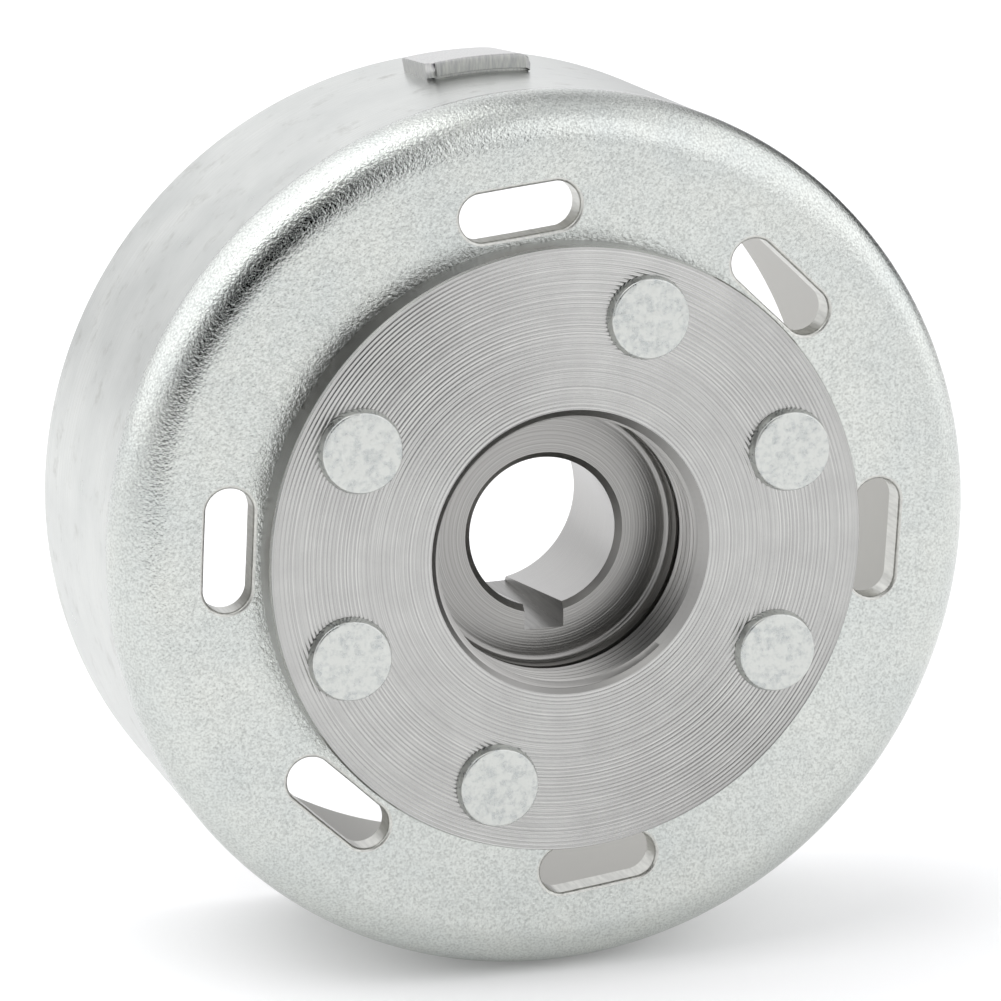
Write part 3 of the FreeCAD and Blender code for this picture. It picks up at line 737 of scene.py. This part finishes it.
def driven_zinc():
    """Zinc on a driven rivet: pale and satin, with soft dents and fine curved scratches."""
    material, tree = new_material("zinc_on_driven_rivet")
    place = place_in_mm(tree)
    grain = add_node(tree, "ShaderNodeTexNoise", {"Scale": 1.5, "Detail": 4.0, "Roughness": 0.65},
                     {"Vector": place})
    dents = add_node(tree, "ShaderNodeTexNoise", {"Scale": 0.8, "Detail": 2.0, "Distortion": 0.6},
                     {"Vector": place})
    colour = add_node(tree, "ShaderNodeMix", {
        "data_type": "RGBA", 6: to_linear("#ACB0AF"), 7: to_linear("#C8CAC6")},
        {0: contrast(tree, grain.outputs["Fac"], 0.30, 0.56)})
    roughness = add_node(tree, "ShaderNodeMapRange", {"To Min": 0.20, "To Max": 0.38},
                         {"Value": grain.outputs["Fac"]})
    dent_bump = add_node(tree, "ShaderNodeBump", {"Strength": 0.8, "Distance": 0.12 * MM},
                         {"Height": dents.outputs["Fac"]})
    bump = add_node(tree, "ShaderNodeBump", {"Strength": 0.7, "Distance": 0.05 * MM},
                    {"Height": grain.outputs["Fac"], "Normal": dent_bump.outputs[0]})
    finish_material(tree, {"Metallic": 1.0}, {
        "Base Color": colour.outputs[2], "Roughness": roughness.outputs[0], "Normal": bump.outputs[0]})
    return material


rivet_zinc = driven_zinc()
pattern_rivet = turned("rivet_pattern", rivet_outline(), RIVET_STEPS)
pattern_rivet.data.materials.append(rivet_zinc)
for number, angle in enumerate(RIVET_ANGLES, start=1):
    rivet = pattern_rivet.copy()
    rivet.data = pattern_rivet.data.copy()
    rivet.name = rivet.data.name = f"rivet_{number}_driven"
    bpy.context.collection.objects.link(rivet)
    move_out(rivet, RIVET_CIRCLE, angle, RIVET_TURN * number)
    smooth(rivet, 40)
    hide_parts(f"rivet_{number}")
    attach(rivet, "root")
bpy.data.objects.remove(pattern_rivet)


# ---- Magnets and cage ---------------------------------------------------------------------------
# Ground ferrite arcs in the windows of a moulded ring, all behind the sleeve.  They keep their CAD
# meshes, because nothing of them shows, and only get their materials here.
def ground_ferrite():
    """Sintered ferrite, ground: charcoal and matte, with a fine speckle."""
    material, tree = new_material("ground_ferrite")
    place = place_in_mm(tree)
    speckle = add_node(tree, "ShaderNodeTexNoise", {"Scale": 4.0, "Detail": 4.0}, {"Vector": place})
    colour = add_node(tree, "ShaderNodeMix", {
        "data_type": "RGBA", 6: to_linear("#2A2A2C"), 7: to_linear("#3C3C3E")}, {0: speckle.outputs["Fac"]})
    finish_material(tree, {"Roughness": 0.6}, {"Base Color": colour.outputs[2]})
    return material


def moulded_nylon():
    """Glass-filled nylon, moulded: black and semi-matte, with a faint mottle of fibres."""
    material, tree = new_material("moulded_glass_filled_nylon")
    place = place_in_mm(tree)
    fibres = add_node(tree, "ShaderNodeTexNoise", {"Scale": 1.6, "Detail": 5.0}, {"Vector": place})
    colour = add_node(tree, "ShaderNodeMix", {
        "data_type": "RGBA", 6: to_linear("#141415"), 7: to_linear("#242425")}, {0: fibres.outputs["Fac"]})
    bump = add_node(tree, "ShaderNodeBump", {"Strength": 0.3, "Distance": 0.02 * MM},
                    {"Height": fibres.outputs["Fac"]})
    finish_material(tree, {"Roughness": 0.5}, {"Base Color": colour.outputs[2], "Normal": bump.outputs[0]})
    return material


def repaint(name, material):
    """Give a CAD node that stays its material."""
    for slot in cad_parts[name].material_slots:
        slot.material = material


ferrite = ground_ferrite()
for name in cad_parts:
    if name.startswith("magnet_") and name[-1].isdigit():
        repaint(name, ferrite)
repaint("magnet_cage", moulded_nylon())


# ---- Magnet sleeve ------------------------------------------------------------------------------
# A thin stainless tube, drawn and pushed in over the magnets.  Its far end is rolled out over the
# cage, to the wall of the cup.
SLEEVE_RADIUS = 38.1 * MM
SLEEVE_SHEET = 0.45 * MM
SLEEVE_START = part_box("magnet_sleeve")[0].y
SLEEVE_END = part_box("magnet_sleeve")[1].y
SLEEVE_BEND = 0.15 * MM
SLEEVE_STEPS = 256


def drawn_stainless():
    """Stainless sheet, drawn to a tube: smooth mid grey, with faint lines along the draw."""
    material, tree = new_material("drawn_stainless_sheet")
    place = place_in_mm(tree)
    mill = add_node(tree, "ShaderNodeTexNoise", {"Scale": 0.4, "Detail": 5.0}, {"Vector": place})
    colour = add_node(tree, "ShaderNodeMix", {
        "data_type": "RGBA", 6: to_linear("#A4A39E"), 7: to_linear("#AEADA8")}, {0: mill.outputs["Fac"]})
    roughness = add_node(tree, "ShaderNodeMapRange", {"To Min": 0.38, "To Max": 0.46},
                         {"Value": mill.outputs["Fac"]})
    finish_material(tree, {"Metallic": 1.0}, {
        "Base Color": colour.outputs[2], "Roughness": roughness.outputs[0]})
    return material


def sleeve_outline():
    """Outline of the sleeve: tube wall, and the end rolled out to the wall of the cup."""
    outer_bend = SLEEVE_BEND + SLEEVE_SHEET
    bend_radius = SLEEVE_RADIUS + outer_bend
    bend_depth = SLEEVE_END - outer_bend
    edge = 0.1 * MM
    return [
        (SLEEVE_RADIUS, SLEEVE_START + edge),
        *circle_arc((bend_radius, bend_depth), outer_bend, 180, 90, 8),
        (MAGNET_SEAT - edge, SLEEVE_END),
        (MAGNET_SEAT, SLEEVE_END - edge),
        (MAGNET_SEAT, SLEEVE_END - SLEEVE_SHEET),
        *circle_arc((bend_radius, bend_depth), SLEEVE_BEND, 90, 180, 4),
        (SLEEVE_RADIUS + SLEEVE_SHEET, SLEEVE_START + edge),
        (SLEEVE_RADIUS + SLEEVE_SHEET - edge, SLEEVE_START),
        (SLEEVE_RADIUS + edge, SLEEVE_START),
        (SLEEVE_RADIUS, SLEEVE_START + edge),
    ]


sleeve = turned("sleeve_drawn", sleeve_outline(), SLEEVE_STEPS)
sleeve.data.materials.append(drawn_stainless())
smooth(sleeve, 30)
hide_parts("magnet_sleeve")
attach(sleeve, "root")


# ---- Timing lug ---------------------------------------------------------------------------------
# A block sheared from strip and bent to the wall, projection-welded to the turned wall and plated
# with it.  Its sides keep the furrows of the shear, and one end is rolled over.
LUG_START = 87.1
LUG_SWEEP = 13.5
LUG_TOP = 45.5 * MM
LUG_FRONT = 20.5 * MM
LUG_BACK = 29.5 * MM
LUG_FOOT = 43.6 * MM
LUG_FALL = 0.3 * MM
# reach of each worn corner, in degrees round the wall, and how far the shear and the fall moved it
LUG_ROLL = 1.5
LUG_ROLL_DROP = 0.9 * MM
LUG_DROOP = 3.2
LUG_DROOP_DROP = 0.35 * MM
LUG_CORNER = 0.9
LUG_CORNER_PUSH = 0.7 * MM
LUG_STEPS = 54


def lug_outline():
    """Section of the strip: a crevice under its front edge, and a top that falls a little backwards."""
    return [
        (LUG_FOOT, LUG_FRONT + 0.6 * MM),
        (LUG_FOOT + 0.38 * MM, LUG_FRONT + 0.5 * MM),
        (LUG_FOOT + 0.45 * MM, LUG_FRONT + 0.1 * MM),
        (LUG_FOOT + 0.58 * MM, LUG_FRONT),
        (LUG_TOP - 0.12 * MM, LUG_FRONT),
        (LUG_TOP, LUG_FRONT + 0.12 * MM),
        (LUG_TOP - LUG_FALL, LUG_BACK - 0.25 * MM),
        (LUG_TOP - LUG_FALL - 0.25 * MM, LUG_BACK),
        (LUG_FOOT, LUG_BACK),
    ]


def lug_block():
    """The section swept about the crankshaft axis over the lug's angle, then its worn corners."""
    block = draw_outline("lug_sheared", lug_outline())
    bpy.ops.mesh.edge_face_add()
    bpy.ops.object.mode_set(mode="OBJECT")
    block.rotation_euler = (0, -math.radians(LUG_START), 0)
    fix_in_place(block)
    open_piece(block)
    bpy.ops.mesh.spin(steps=LUG_STEPS, angle=math.radians(LUG_SWEEP), center=(0, 0, 0), axis=(0, 1, 0))
    bpy.ops.mesh.select_all(action="SELECT")
    bpy.ops.mesh.remove_doubles(threshold=MERGE)
    bpy.ops.mesh.normals_make_consistent(inside=False)
    bpy.ops.object.mode_set(mode="OBJECT")
    for vertex in block.data.vertices:
        radius = math.hypot(vertex.co.x, vertex.co.z)
        angle = math.degrees(math.atan2(vertex.co.z, vertex.co.x)) - LUG_START
        height = (radius - LUG_FOOT) / (LUG_TOP - LUG_FOOT)
        back = (vertex.co.y - LUG_FRONT) / (LUG_BACK - LUG_FRONT)
        roll = 1 - math.sqrt(max(0.0, 1 - max(0.0, 1 - angle / LUG_ROLL) ** 2))
        droop = max(0.0, 1 - angle / LUG_DROOP) ** 2 * back
        fall = height * (LUG_ROLL_DROP * roll + LUG_DROOP_DROP * droop)
        vertex.co.x *= 1 - fall / radius
        vertex.co.z *= 1 - fall / radius
        left = max(0.0, 1 - (LUG_SWEEP - angle) / LUG_CORNER)
        front = max(0.0, 1 - back / 0.1)
        vertex.co.y += left * front * LUG_CORNER_PUSH
    return block


def sheared_zinc():
    """Zinc on a sheared strip: grey, with furrows of the shear down its sides."""
    material, tree = new_material("zinc_on_sheared_steel")
    place = place_in_mm(tree)
    stroke = add_node(tree, "ShaderNodeMapping", {"Scale": (1.0, 1.0, 0.15)}, {"Vector": place})
    furrows = add_node(tree, "ShaderNodeTexNoise", {"Scale": 5.0, "Detail": 3.0},
                       {"Vector": stroke.outputs[0]})
    colour = add_node(tree, "ShaderNodeMix", {
        "data_type": "RGBA", 6: to_linear("#B0B0B1"), 7: to_linear("#C9C9C5")},
        {0: contrast(tree, furrows.outputs["Fac"], 0.32, 0.68)})
    bump = add_node(tree, "ShaderNodeBump", {"Strength": 0.35, "Distance": 0.05 * MM},
                    {"Height": furrows.outputs["Fac"]})
    finish_material(tree, {"Metallic": 1.0, "Roughness": 0.30}, {
        "Base Color": colour.outputs[2], "Normal": bump.outputs[0]})
    return material


lug = lug_block()
lug.data.materials.append(sheared_zinc())
smooth(lug, 40)
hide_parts("timing_lug")
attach(lug, "root")
